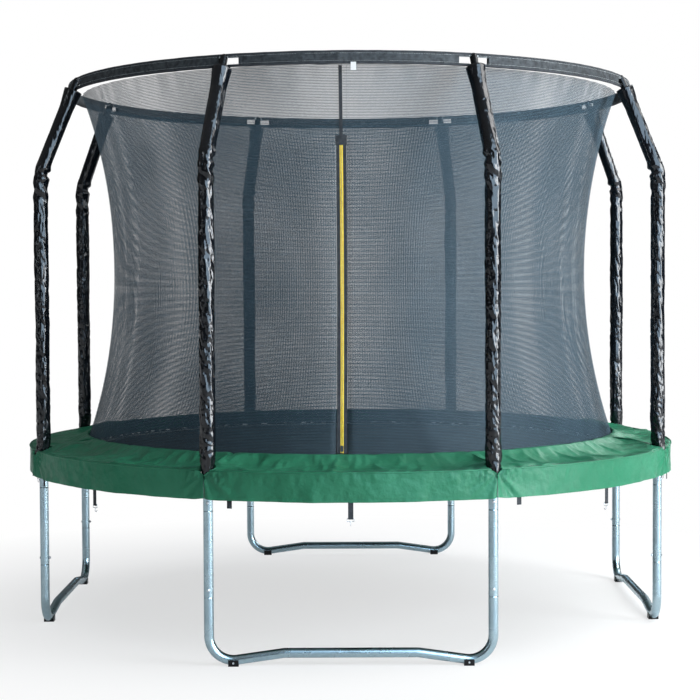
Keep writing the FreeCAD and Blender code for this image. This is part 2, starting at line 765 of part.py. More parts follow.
def save_poles():
    lower = lower_pole()
    upper = bent_tube(POLE_JOINT_Z, POLE_SHORT_OF_RING, POLE_R, POLE_R - POLE_WALL)
    for i in range(LEGS):
        save("lower_pole_%d" % (i + 1), spin(lower, LEG_ANGLES[i]))
        save("upper_pole_%d" % (i + 1), spin(upper, LEG_ANGLES[i]))
    foam = bent_tube(POLE_SOCKET_TOP_Z + 1, FOAM_SHORT_OF_RING, FOAM_R, CAP_R + 0.5)
    cover = bent_tube(COVER_BOTTOM_Z, COVER_SHORT_OF_RING, COVER_R, COVER_R - COVER_WALL)
    save("pole_bolts", around(pole_bolt(), LEG_ANGLES))
    save("pole_caps", around(pole_cap(), LEG_ANGLES))
    save("pole_foam", around(foam, LEG_ANGLES))
    save("pole_covers", around(cover, LEG_ANGLES))


def save_net():
    save("ring_rods", ring_rods())
    save("ring_ferrules", ring_ferrules())
    save("enclosure_net", enclosure_net())
    save("net_top_sleeve", net_top_sleeve())
    save("zip_band", zip_band())
    save("zip_coil", zip_coil())
    save("zip_header", zip_header())
    save("zip_slider", zip_slider())
    save("zip_pull_outside", outside_pull())
    save("zip_pull_inside", inside_pull())


def save_mat():
    save("jumping_mat", jumping_mat())
    save("mat_webbing", mat_webbing())
    save("v_rings", around(v_ring(), spring_angles()))
    save("springs", around(spring(), spring_angles()))
    save("safety_pad", safety_pad())
    save("pad_straps", pad_straps())
    save("strap_hooks", around(strap_hook(), [a + 22.5 for a in LEG_ANGLES]))


os.makedirs("parts", exist_ok=True)
save_legs()
save_frame()
save_poles()
save_net()
save_mat()
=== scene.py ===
"""A round garden trampoline with an inward-curved safety net, for Blender 4.5.

Metres, +Z up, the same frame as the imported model: ground at z 0, the zipped door towards -Y.
"""
import math
import bpy
import numpy as np
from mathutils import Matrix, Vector, noise


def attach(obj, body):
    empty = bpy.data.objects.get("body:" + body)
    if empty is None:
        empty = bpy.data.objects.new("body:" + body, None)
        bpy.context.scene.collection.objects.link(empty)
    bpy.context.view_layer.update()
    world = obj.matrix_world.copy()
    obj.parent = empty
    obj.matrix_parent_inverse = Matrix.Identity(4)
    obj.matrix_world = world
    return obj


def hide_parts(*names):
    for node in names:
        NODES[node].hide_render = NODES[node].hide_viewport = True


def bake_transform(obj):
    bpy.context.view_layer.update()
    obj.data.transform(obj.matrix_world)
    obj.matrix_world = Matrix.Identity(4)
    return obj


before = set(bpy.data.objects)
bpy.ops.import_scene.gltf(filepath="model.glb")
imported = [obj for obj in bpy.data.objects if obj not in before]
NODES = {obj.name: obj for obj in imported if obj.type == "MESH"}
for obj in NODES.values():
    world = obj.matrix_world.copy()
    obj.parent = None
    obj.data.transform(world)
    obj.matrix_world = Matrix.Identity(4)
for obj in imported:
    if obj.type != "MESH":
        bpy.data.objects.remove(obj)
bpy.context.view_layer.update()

TURN = 2 * math.pi

# The part's own sizes, as the CAD has them
LEG_ANGLES = [math.radians(-112.5 + 45.0 * i) for i in range(8)]
FRAME_R = 1.505
RING_R, RING_Z = 1.333, 2.474
BEND_Z, BEND_R = 2.050, 0.150
TILT = math.atan2(FRAME_R - RING_R, RING_Z - BEND_Z)
RUN = math.hypot(FRAME_R - RING_R, RING_Z - BEND_Z)
NET_WAIST_R, NET_WAIST_Z, NET_ARC_R = 1.130, 1.613, 2.461
NET_BOTTOM_Z, SLEEVE_BOTTOM_Z, SLEEVE_TOP_Z = 0.765, 2.434, 2.4825
NET_DEPTH = 0.003
DOOR = math.radians(-91.6)
DOOR_HALF = math.radians(1.15)
ZIP_BOTTOM_Z, ZIP_TOP_Z, HEADER_TOP_Z = 0.848, 2.118, 2.158
MAT_R, MAT_Z = 1.273, 0.760
PAD_OUTER_R, PAD_INNER_R = 1.534, 1.260
SEAM_Z, PAD_TOP_Z, SKIRT_BOTTOM_Z = 0.796, 0.847, 0.679
COVER_R, NOTCH_R = 0.032, 0.036
SPRINGS, APEX_R = 64, 1.311
COIL_R, WIRE_R, HOOK_R = 0.0068, 0.0018, 0.0055
COIL_START_R, COIL_END_R = 1.330, 1.468
COVER_BOTTOM_Z, COVER_SHORT_OF_RING = 0.786, 0.053
FOAM_CLEAR_R = 0.0285  # no crease goes deeper, so the foam stays hidden
SKIRT_SECTION = (1.205, 0.117)  # the cloth between two poles, flat
SKIRT_LAP = 0.0025
TOP_FIRST, TOP_LAST, SEAM_COLUMN = 6, 17, 16  # columns of the pad's section, from its inner foot
SETTLE_FRAMES = 14


# ---------------------------------------------------------------- materials

class Finish:
    """A node material: one Principled surface and helpers that add nodes before it."""

    def __init__(self, name, colour, rough, metallic=0.0, specular=0.5):
        self.material = bpy.data.materials.new(name)
        self.material.use_nodes = True
        self.tree = self.material.node_tree
        self.surface = self.tree.nodes["Principled BSDF"]
        self.surface.inputs["Base Color"].default_value = (*colour, 1)
        self.surface.inputs["Roughness"].default_value = rough
        self.surface.inputs["Metallic"].default_value = metallic
        self.surface.inputs["Specular IOR Level"].default_value = specular
        self.place = self.tree.nodes.new("ShaderNodeTexCoord")

    def link(self, output, target):
        self.tree.links.new(output, target)

    def node(self, kind, **values):
        made = self.tree.nodes.new(kind)
        for key, value in values.items():
            setattr(made, key, value)
        return made

    def coords(self, scale=(1, 1, 1), kind="Object"):
        mapping = self.node("ShaderNodeMapping")
        mapping.inputs["Scale"].default_value = scale
        self.link(self.place.outputs[kind], mapping.inputs["Vector"])
        return mapping.outputs["Vector"]

    def noise(self, scale, detail=3.0, vector=None, rough=0.5):
        made = self.node("ShaderNodeTexNoise")
        made.inputs["Scale"].default_value = scale
        made.inputs["Detail"].default_value = detail
        made.inputs["Roughness"].default_value = rough
        self.link(vector or self.coords(), made.inputs["Vector"])
        return made.outputs["Fac"]

    def cells(self, scale, vector=None):
        made = self.node("ShaderNodeTexVoronoi")
        made.inputs["Scale"].default_value = scale
        self.link(vector or self.coords(), made.inputs["Vector"])
        return made

    def maths(self, kind, a, b=0.0):
        made = self.node("ShaderNodeMath", operation=kind)
        for i, value in enumerate((a, b)):
            if isinstance(value, (int, float)):
                made.inputs[i].default_value = value
            else:
                self.link(value, made.inputs[i])
        return made.outputs["Value"]

    def remap(self, value, low, high, to_low, to_high):
        made = self.node("ShaderNodeMapRange")
        for name, number in (("From Min", low), ("From Max", high), ("To Min", to_low), ("To Max", to_high)):
            made.inputs[name].default_value = number
        self.link(value, made.inputs["Value"])
        return made.outputs["Result"]

    def mix(self, fac, a, b):
        made = self.node("ShaderNodeMix", data_type="RGBA")
        for value, target in ((fac, made.inputs[0]), (a, made.inputs[6]), (b, made.inputs[7])):
            if isinstance(value, (int, float)):
                target.default_value = value
            elif isinstance(value, tuple):
                target.default_value = (*value, 1)
            else:
                self.link(value, target)
        return made.outputs[2]

    def colour(self, output):
        self.link(output, self.surface.inputs["Base Color"])

    def rough(self, output):
        self.link(output, self.surface.inputs["Roughness"])

    def alpha(self, output):
        self.link(output, self.surface.inputs["Alpha"])

    def bump(self, height, distance, strength=1.0):
        made = self.node("ShaderNodeBump")
        made.inputs["Strength"].default_value = strength
        made.inputs["Distance"].default_value = distance
        self.link(height, made.inputs["Height"])
        previous = self.surface.inputs["Normal"]
        if previous.is_linked:
            self.link(previous.links[0].from_socket, made.inputs["Normal"])
        self.link(made.outputs["Normal"], self.surface.inputs["Normal"])

    def stripes(self, coordinate, period, axis):
        """A sine from 0 to 1 along one axis of the piece's own UV, in metres."""
        split = self.node("ShaderNodeSeparateXYZ")
        self.link(coordinate, split.inputs[0])
        wave = self.maths("SINE", self.maths("MULTIPLY", split.outputs[axis], TURN / period))
        return self.remap(wave, -1, 1, 0, 1)


def steel():
    """Hot-dip galvanised tube: faint spangle, drawn lines and a few dull patches."""
    m = Finish("galvanised steel", (0.50, 0.58, 0.62), 0.28, metallic=1.0)
    spangle = m.cells(95.0).outputs["Color"]
    grain = m.node("ShaderNodeSeparateColor")
    m.link(spangle, grain.inputs[0])
    patch = m.noise(7.0, 4.0)
    shade = m.mix(m.remap(grain.outputs[0], 0, 1, 0, 0.22), (0.35, 0.46, 0.51), (0.48, 0.60, 0.65))
    m.colour(m.mix(m.remap(patch, 0.42, 0.66, 0.0, 0.45), shade, (0.26, 0.35, 0.40)))
    m.rough(m.remap(patch, 0.3, 0.7, 0.20, 0.34))
    m.bump(m.noise(180.0, 2.0), 0.0001, 0.3)
    return m.material


def zinc(name, tint, rough):
    m = Finish(name, tint, rough, metallic=1.0)
    m.rough(m.remap(m.noise(120.0, 3.0), 0.3, 0.7, rough - 0.08, rough + 0.12))
    return m.material


def plastic(name, tint, rough, grain=600.0, specular=0.5):
    m = Finish(name, tint, rough, specular=specular)
    m.rough(m.remap(m.noise(18.0, 4.0), 0.3, 0.7, rough - 0.08, rough + 0.12))
    m.bump(m.noise(grain, 2.0), 0.0003, 0.35)
    return m.material


def glossy_cover():
    """Thin glossy black PVC over foam: fine creases, dust in the folds."""
    m = Finish("black pvc cover", (0.002, 0.003, 0.005), 0.12, specular=0.50)
    long_grain = m.coords((1.0, 1.0, 0.16))
    m.bump(m.noise(30.0, 3.0, long_grain, 0.5), 0.012, 0.50)
    m.bump(m.noise(60.0, 2.0), 0.0020, 0.22)
    dust = m.noise(9.0, 5.0)
    m.colour(m.mix(m.remap(dust, 0.5, 0.8, 0.0, 0.35), (0.002, 0.003, 0.005), (0.008, 0.011, 0.016)))
    m.rough(m.remap(m.noise(20.0, 4.0), 0.3, 0.7, 0.08, 0.16))
    return m.material


def green_cover():
    """The pad's green PVC-coated cloth: a fine base weave under the coat and soft scuffs."""
    m = Finish("green pvc", (0.040, 0.215, 0.128), 0.40, specular=0.20)
    uv = m.coords(kind="UV")
    weave = m.maths("MULTIPLY", m.stripes(uv, 0.0022, "X"), m.stripes(uv, 0.0022, "Y"))
    m.bump(weave, 0.0002, 0.5)
    m.bump(m.noise(28.0, 4.0), 0.007, 0.55)
    m.bump(m.noise(9.0, 3.0), 0.020, 0.45)
    scuff = m.noise(5.0, 6.0)
    m.colour(m.mix(m.remap(scuff, 0.4, 0.7, 0.0, 1.0), (0.020, 0.160, 0.084), (0.030, 0.195, 0.108)))
    m.rough(m.remap(m.noise(16.0, 4.0), 0.3, 0.7, 0.32, 0.48))
    return m.material


def net_cloth():
    """Black polyethylene mesh: a fine open knit that shows what is behind it."""
    m = Finish("net", (0.028, 0.046, 0.070), 0.62, specular=0.2)
    uv = m.coords(kind="UV")
    rows = m.stripes(uv, 0.0064, "Y")
    columns = m.stripes(uv, 0.0034, "X")
    knit = m.maths("MAXIMUM", rows, columns)
    slow = m.remap(m.noise(2.6, 4.0), 0.3, 0.7, -0.05, 0.05)
    m.alpha(m.remap(m.maths("ADD", knit, slow), 0.72, 0.96, 0.13, 0.96))
    m.colour(m.mix(rows, (0.028, 0.054, 0.076), (0.046, 0.083, 0.112)))
    return m.material


def webbing(name, dark, light, rough=0.72, ribs=0.0016):
    """Woven tape: fine ribs across it and a little fuzz."""
    m = Finish(name, dark, rough, specular=0.35)
    uv = m.coords(kind="UV")
    weave = m.maths("MULTIPLY", m.stripes(uv, ribs, "X"), m.stripes(uv, ribs * 1.6, "Y"))
    m.colour(m.mix(m.remap(m.noise(60.0, 4.0), 0.35, 0.68, 0, 1), dark, light))
    m.bump(weave, 0.0004, 0.7)
    m.bump(m.noise(220.0, 3.0), 0.0006, 0.5)
    return m.material


def mat_cloth():
    """Permatron: tight black monofilament weave with a dusty, faintly bluish bloom."""
    m = Finish("jumping mat", (0.014, 0.018, 0.024), 0.55, specular=0.30)
    uv = m.coords(kind="UV")
    weave = m.maths("MULTIPLY", m.stripes(uv, 0.0019, "X"), m.stripes(uv, 0.0019, "Y"))
    m.bump(weave, 0.0004, 0.8)
    dust = m.noise(2.2, 6.0, rough=0.6)
    m.colour(m.mix(m.remap(dust, 0.38, 0.66, 0, 1), (0.007, 0.009, 0.011), (0.016, 0.019, 0.023)))
    m.rough(m.remap(m.noise(5.0, 5.0), 0.3, 0.7, 0.46, 0.66))
    return m.material


def pale_rod():
    m = Finish("pale rod", (0.52, 0.58, 0.60), 0.42, specular=0.5)
    m.colour(m.mix(m.remap(m.noise(90.0, 3.0, m.coords((0.2, 0.2, 1))), 0.35, 0.65, 0, 1),
                   (0.46, 0.52, 0.55), (0.62, 0.67, 0.68)))
    return m.material


STEEL = steel()
BOLT = zinc("zinc bolts", (0.60, 0.62, 0.64), 0.30)
WIRE = zinc("zinc wire", (0.55, 0.58, 0.60), 0.32)
DARK_METAL = zinc("black metal", (0.05, 0.055, 0.06), 0.36)
BLACK = plastic("black plastic", (0.004, 0.005, 0.006), 0.20, specular=0.24)
FOAM = plastic("foam", (0.30, 0.32, 0.33), 0.85, 300.0)
COVER = glossy_cover()
GREEN = green_cover()
NET = net_cloth()
TAPE = webbing("black webbing", (0.012, 0.014, 0.018), (0.030, 0.035, 0.042))
SLEEVE = webbing("sleeve webbing", (0.006, 0.008, 0.010), (0.043, 0.051, 0.057), 0.70, 0.0030)
YELLOW = webbing("yellow zip", (0.90, 0.66, 0.045), (0.96, 0.76, 0.08), 0.50, 0.0012)
MAT = mat_cloth()
ROD = pale_rod()
WHITE = plastic("white label", (0.80, 0.81, 0.80), 0.55, 400.0)
THREAD = plastic("thread", (0.035, 0.042, 0.050), 0.70, 900.0)
PALE_THREAD = plastic("pale cord", (0.50, 0.54, 0.55), 0.62, 900.0)


# ---------------------------------------------------------------- mesh helpers

def add(name, vertices, faces, material, uv=None, smooth=True):
    """A mesh object from vertices and faces, with UV per face corner in metres."""
    name = name.replace(" ", "_")
    mesh = bpy.data.meshes.new(name)
    mesh.from_pydata([tuple(v) for v in vertices], [], faces)
    if uv is not None:
        layer = mesh.uv_layers.new(name="Cloth")
        layer.data.foreach_set("uv", np.asarray(uv, np.float32).ravel())
    mesh.materials.append(material)
    mesh.polygons.foreach_set("use_smooth", [smooth] * len(mesh.polygons))
    mesh.update()
    obj = bpy.data.objects.new(name, mesh)
    bpy.context.scene.collection.objects.link(obj)
    return obj


def grid_faces(rows, columns, wrap_rows=False, wrap_columns=False, size=(1.0, 1.0),
               skip=None, flip=False):
    """Quads and their UV for a grid of points, as two lists."""
    row_steps = rows if wrap_rows else rows - 1
    column_steps = columns if wrap_columns else columns - 1
    faces, uv = [], []
    for i in range(row_steps):
        for j in range(column_steps):
            if skip and skip(i, j):
                continue
            corners = [(i, j), (i + 1, j), (i + 1, j + 1), (i, j + 1)]
            if flip:
                corners.reverse()
            faces.append([(a % rows) * columns + b % columns for a, b in corners])
            uv.extend((a / row_steps * size[0], b / column_steps * size[1]) for a, b in corners)
    return faces, uv


def grid(name, points, material, **kinds):
    """A smooth sheet or tube through a grid of points."""
    points = np.asarray(points, float)
    faces, uv = grid_faces(points.shape[0], points.shape[1], **kinds)
    return add(name, points.reshape(-1, 3), faces, material, uv)


def at(radius, angle, z):
    return (radius * math.cos(angle), radius * math.sin(angle), z)


def joined(name, parts):
    """One object of several that share a material order."""
    vertices, faces, uv, base = [], [], [], 0
    for part in parts:
        mesh = part.data
        vertices.extend(v.co.copy() for v in mesh.vertices)
        faces.extend([base + v for v in p.vertices] for p in mesh.polygons)
        uv.extend(tuple(d.uv) for d in mesh.uv_layers[0].data)
        base += len(mesh.vertices)
    material = parts[0].data.materials[0]
    for part in parts:
        bpy.data.objects.remove(part)
    return add(name, vertices, faces, material, uv)


def tube(name, path, radius, material, sides=8, closed=False):
    """A round cord or hem along points; radius is one number or one for each point."""
    path = [Vector(p) for p in path]
    count = len(path)
    radii = radius if isinstance(radius, (list, tuple)) else [radius] * count
    points, length = [], 0.0
    for i, centre in enumerate(path):
        before = path[(i - 1) % count] if closed or i else path[0]
        after = path[(i + 1) % count] if closed or i < count - 1 else path[-1]
        tangent = (after - before).normalized()
        side = tangent.cross(Vector((0, 0, 1)))
        if side.length < 0.05:
            side = tangent.cross(Vector((1, 0, 0)))
        side.normalize()
        up = side.cross(tangent)
        ring = [centre + (side * math.cos(TURN * k / sides) + up * math.sin(TURN * k / sides)) * radii[i]
                for k in range(sides)]
        points.append(ring)
        length += (after - before).length / 2
    return grid(name, points, material, wrap_rows=closed, wrap_columns=True,
                size=(length, TURN * radii[0]), flip=True)


def dress(names, material):
    """The finish of CAD nodes that are shown as they are."""
    for node in names:
        obj = NODES[node]
        obj.data.materials.clear()
        obj.data.materials.append(material)
        obj.data.polygons.foreach_set("material_index", [0] * len(obj.data.polygons))


def applied(obj):
    """The piece with its modifiers made into plain mesh."""
    bpy.context.view_layer.update()
    evaluated = obj.evaluated_get(bpy.context.evaluated_depsgraph_get())
    final = bpy.data.meshes.new_from_object(evaluated)
    obj.modifiers.clear()
    obj.data = final
    return obj


def net_r(z):
    return NET_WAIST_R + NET_ARC_R - math.sqrt(NET_ARC_R ** 2 - (z - NET_WAIST_Z) ** 2)


def wrinkle(x, y, z, seed=0.0):
    return noise.noise(Vector((x + seed * 7.31, y - seed * 3.17, z + seed)))


# ---------------------------------------------------------------- repeats by Geometry Nodes

def repeat_tree():
    """Geometry Nodes: one small piece at even steps along the edges of a guide mesh.

    The piece's X points out from the trampoline's axis and its Z runs along the guide.
    """
    tree = bpy.data.node_groups.new("repeat along", "GeometryNodeTree")
    face = tree.interface
    face.new_socket("Geometry", in_out="INPUT", socket_type="NodeSocketGeometry")
    face.new_socket("Piece", in_out="INPUT", socket_type="NodeSocketObject")
    face.new_socket("Step", in_out="INPUT", socket_type="NodeSocketFloat")
    face.new_socket("Uneven", in_out="INPUT", socket_type="NodeSocketFloat")
    face.new_socket("Material", in_out="INPUT", socket_type="NodeSocketMaterial")
    face.new_socket("Geometry", in_out="OUTPUT", socket_type="NodeSocketGeometry")
    new, link = tree.nodes.new, tree.links.new
    start, end = new("NodeGroupInput"), new("NodeGroupOutput")
    to_curve, resample = new("GeometryNodeMeshToCurve"), new("GeometryNodeResampleCurve")
    resample.mode = "LENGTH"
    link(start.outputs["Geometry"], to_curve.inputs["Mesh"])
    link(to_curve.outputs["Curve"], resample.inputs["Curve"])
    link(start.outputs["Step"], resample.inputs["Length"])
    position, flat = new("GeometryNodeInputPosition"), new("ShaderNodeVectorMath")
    flat.operation = "MULTIPLY"
    flat.inputs[1].default_value = (1, 1, 0)
    link(position.outputs[0], flat.inputs[0])
    outward, along = new("FunctionNodeAlignRotationToVector"), new("FunctionNodeAlignRotationToVector")
    outward.axis = "X"
    along.axis, along.pivot_axis = "Z", "X"
    tangent = new("GeometryNodeInputTangent")
    link(flat.outputs[0], outward.inputs["Vector"])
    link(outward.outputs[0], along.inputs["Rotation"])
    link(tangent.outputs[0], along.inputs["Vector"])
    info = new("GeometryNodeObjectInfo")
    link(start.outputs["Piece"], info.inputs["Object"])
    spread = new("FunctionNodeRandomValue")
    spread.data_type = "FLOAT"
    spread.inputs["Seed"].default_value = 11
    low, high = new("ShaderNodeMath"), new("ShaderNodeMath")
    low.operation, high.operation = "SUBTRACT", "ADD"
    floats = [s for s in spread.inputs if s.type == "VALUE" and s.name in ("Min", "Max")]
    for sum_node, target in ((low, floats[0]), (high, floats[1])):
        sum_node.inputs[0].default_value = 1.0
        link(start.outputs["Uneven"], sum_node.inputs[1])
        link(sum_node.outputs[0], target)
    place, realise, paint = (new("GeometryNodeInstanceOnPoints"), new("GeometryNodeRealizeInstances"),
                             new("GeometryNodeSetMaterial"))
    link(resample.outputs["Curve"], place.inputs["Points"])
    link(info.outputs["Geometry"], place.inputs["Instance"])
    link(along.outputs[0], place.inputs["Rotation"])
    link([s for s in spread.outputs if s.type == "VALUE"][0], place.inputs["Scale"])
    link(place.outputs[0], realise.inputs[0])
    link(realise.outputs[0], paint.inputs["Geometry"])
    link(start.outputs["Material"], paint.inputs["Material"])
    link(paint.outputs[0], end.inputs[0])
    return tree


REPEAT = repeat_tree()


def repeated(name, lines, piece, step, material, uneven=0.0):
    """The piece along every line of points (a line is (points, closed)), as one mesh."""
    vertices, edges = [], []
    for points, closed in lines:
        base = len(vertices)
        vertices.extend(points)
        count = len(points)
        edges.extend((base + i, base + (i + 1) % count) for i in range(count if closed else count - 1))
    mesh = bpy.data.meshes.new(name + " guide")
    mesh.from_pydata(vertices, edges, [])
    obj = bpy.data.objects.new(name.replace(" ", "_"), mesh)
    bpy.context.scene.collection.objects.link(obj)
    modifier = obj.modifiers.new("repeat", "NODES")
    modifier.node_group = REPEAT
    values = {"Piece": piece, "Step": step, "Uneven": uneven, "Material": material}
    for item in REPEAT.interface.items_tree:
        if item.item_type == "SOCKET" and item.in_out == "INPUT" and item.name in values:
            modifier[item.identifier] = values[item.name]
    applied(obj)
    bpy.data.objects.remove(piece)
    return obj


def small_box(x, y, z):
    """A rounded-end bar centred on the origin, for stitches, teeth and loops."""
    points = []
    for t, share in ((-1, 0.55), (-0.6, 1.0), (0.6, 1.0), (1, 0.55)):
        points.append([(x / 2 * share * a, y / 2 * share * b, z / 2 * t)
                       for a, b in ((1, 0.4), (-0.4, 1), (-1, -0.4), (0.4, -1))])
    return grid("small piece", points, THREAD, wrap_columns=True, flip=True)


# ---------------------------------------------------------------- poles' covers

def pole_line(distance):
    """A point (radius, z) of a pole's centreline, and its lean, at a distance up from z 0."""
    tangent = BEND_R * math.tan(TILT / 2)
    start = BEND_Z - tangent
    if distance <= start:
        return FRAME_R, distance, 0.0
    turned = (distance - start) / BEND_R
    if turned <= TILT:
        centre = FRAME_R - BEND_R
        return centre + BEND_R * math.cos(turned), start + BEND_R * math.sin(turned), turned
    beyond = distance - start - BEND_R * TILT
    r = FRAME_R - math.sin(TILT) * (tangent + beyond)
    return r, BEND_Z + math.cos(TILT) * (tangent + beyond), TILT


def pole_length(short):
    tangent = BEND_R * math.tan(TILT / 2)
    return BEND_Z - tangent + BEND_R * TILT + RUN - tangent - short


def pole_cover(index):
    """A loose glossy sleeve: crumpled, gathered over the pad's rim, flared at its mouth."""
    rows, sides = 270, 44
    low, high = COVER_BOTTOM_Z, pole_length(COVER_SHORT_OF_RING)
    bend = BEND_Z - BEND_R * math.tan(TILT / 2) + BEND_R * TILT / 2
    points = []
    for i in range(rows + 1):
        share = i / rows
        distance = low + (high - low) * share
        r, z, lean = pole_line(distance)
        gather = math.exp(-((distance - 0.793) / 0.030) ** 2)
        mouth = max(0.0, (share - 0.945) / 0.055)
        body = COVER_R + 0.0015 * wrinkle(index, 0, distance * 4.0, 3.0)
        body += 0.0085 * mouth ** 1.2
        up = distance - bend - 0.004 * wrinkle(index, 5.0, 2.0, 11.0)
        pinch = math.exp(-(up / 0.011) ** 2)
        lips = math.exp(-((abs(up) - 0.026) / 0.014) ** 2)
        loose = 0.22 if up > 0.05 else 0.22 + 0.78 * min(1.0, (0.05 - up) / 0.10)
        below = math.exp(-((up + 0.075) / 0.055) ** 2)
        low_part = math.exp(-((distance - 0.80) / 0.13) ** 2)
        ring = []
        for k in range(sides):
            turn = TURN * k / sides
            c, s = math.cos(turn), math.sin(turn)
            slant = turn + 7.0 * distance
            cs, ss = math.cos(slant), math.sin(slant)
            fold = 0.0026 * wrinkle(c * 1.6, s * 1.6, distance * 3.2, index + 1.0)
            fold += loose * 0.0020 * wrinkle(cs * 2.6, ss * 2.6, distance * 11.0, index + 20.0)
            fold += loose * 0.0008 * wrinkle(c * 8.0, s * 8.0, distance * 30.0, index + 40.0)
            crease = abs(wrinkle(cs * 1.9, ss * 1.9, distance * 13.0, index + 60.0))
            fold -= loose * 0.0040 * max(0.0, 0.13 - crease) / 0.13
            inner_side = max(0.0, 0.62 - 0.55 * c)
            fold += inner_side * (0.0060 * lips - 0.0075 * pinch)
            fold += below * 0.0032 * math.sin(turn * 2.0 + distance * 85.0 + index)
            knot = abs(wrinkle(c * 2.6, s * 2.6, distance * 24.0, index + 80.0))
            fold += low_part * (0.0050 * wrinkle(c * 2.2, s * 2.2, distance * 17.0, index + 90.0)
                                - 0.0060 * max(0.0, 0.16 - knot) / 0.16)
            fold += gather * 0.0022 * math.cos(turn * 9 + index)
            radius = max(FOAM_CLEAR_R, body + fold * (1 - 0.6 * mouth))
            radius -= 0.0080 * gather * (1 - max(0.0, c))
            drop = -0.022 * max(0.0, c) ** 2 * max(0.0, 1 - share * 22)
            out = radius * c + 0.0030 * gather * max(0.0, c)
            ring.append((r + out * math.cos(lean), radius * s, z + out * math.sin(lean) + drop))
        points.append(ring)
    centre_r, centre_z, _ = pole_line(high)
    narrow = 0.62
    inner = []
    for p in points[-1]:
        inner.append((centre_r + (p[0] - centre_r) * narrow, p[1] * narrow,
                      centre_z + (p[2] - centre_z) * narrow - 0.004))
    points.append(inner)
    obj = grid("pole cover %d" % (index + 1), points, COVER, wrap_columns=True,
               size=(high - low, TURN * COVER_R), flip=True)
    turn = LEG_ANGLES[index]
    c, s = math.cos(turn), math.sin(turn)
    for v in obj.data.vertices:
        x, y, z = v.co
        v.co = (x * c - y * s, x * s + y * c, z)
    return obj


# ---------------------------------------------------------------- pad and skirt

def pad_profile(count=10):
    """The pad's section: (radius, z) all round, from the inner foot up and over to the rim."""
    points = [(PAD_INNER_R + 0.026, MAT_Z + 0.009), (PAD_INNER_R + 0.019, MAT_Z + 0.026)]
    points += [(PAD_INNER_R + 0.008, MAT_Z + 0.052), (PAD_INNER_R + 0.002, PAD_TOP_Z - 0.016)]
    points += [(PAD_INNER_R + 0.003, PAD_TOP_Z - 0.005), (PAD_INNER_R + 0.010, PAD_TOP_Z)]
    for i in range(1, count + 1):
        t = i / (count + 1)
        r = PAD_INNER_R + 0.010 + (PAD_OUTER_R - PAD_INNER_R - 0.014) * t
        z = PAD_TOP_Z + (SEAM_Z + 0.004 - PAD_TOP_Z) * t + 0.010 * math.sin(math.pi * t)
        points.append((r, z))
    points += [(PAD_OUTER_R - 0.004, SEAM_Z + 0.003), (PAD_OUTER_R, SEAM_Z - 0.001)]
    points += [(PAD_OUTER_R - 0.003, SEAM_Z - 0.008)]
    for i in range(1, 8):
        t = i / 8
        points.append((PAD_OUTER_R - 0.003 + (PAD_INNER_R + 0.029 - PAD_OUTER_R) * t,
                       SEAM_Z - 0.009 + (MAT_Z + 0.007 - SEAM_Z + 0.009) * t))
    return points


def end_angle(r):
    """How far from its pole's line a pad section ends at a radius: round the cover's notch."""
    off = r - FRAME_R
    if abs(off) < NOTCH_R:
        return math.sqrt(NOTCH_R ** 2 - off ** 2) / r
    return 0.0042 / r


def pad_section(index):
    """One padded section between two poles, before its cloth settles."""
    steps = 96
    profile = pad_profile()
    points = []
    for i in range(steps + 1):
        share = i / steps
        row = []
        for r, z in profile:
            low = LEG_ANGLES[index] + end_angle(r)
            high = LEG_ANGLES[index] + TURN / 8 - end_angle(r)
            edge = min(share, 1 - share) * 1.15
            squeeze = 0.35 * math.exp(-(edge / 0.010) ** 2)
            middle_z = 0.5 * (SEAM_Z + PAD_TOP_Z) - 0.02
            row.append(at(r, low + (high - low) * share, z + (middle_z - z) * squeeze * 0.35))
        points.append(row)
    return points, profile


def settle(obj, held, frames):
    """Lets the cloth take its own wrinkles: slightly oversized, filled, and held at its seams."""
    group = obj.vertex_groups.new(name="held")
    group.add(held, 1.0, "REPLACE")
    modifier = obj.modifiers.new("cloth", "CLOTH")
    cloth = modifier.settings
    cloth.quality = 5
    cloth.mass = 0.2
    cloth.tension_stiffness = 25
    cloth.compression_stiffness = 25
    cloth.shear_stiffness = 10
    cloth.bending_stiffness = 0.35
    cloth.shrink_min = -0.035
    cloth.use_pressure = True
    cloth.uniform_pressure_force = 4.0
    cloth.effector_weights.gravity = 0.0
    cloth.vertex_group_mass = "held"
    modifier.collision_settings.use_collision = False
    modifier.point_cache.frame_start = 1
    modifier.point_cache.frame_end = frames
    scene = bpy.context.scene
    for number in range(1, frames + 1):
        scene.frame_set(number)
    settled = bpy.data.meshes.new_from_object(obj.evaluated_get(bpy.context.evaluated_depsgraph_get()))
    obj.modifiers.remove(modifier)
    obj.data = settled
    scene.frame_set(1)


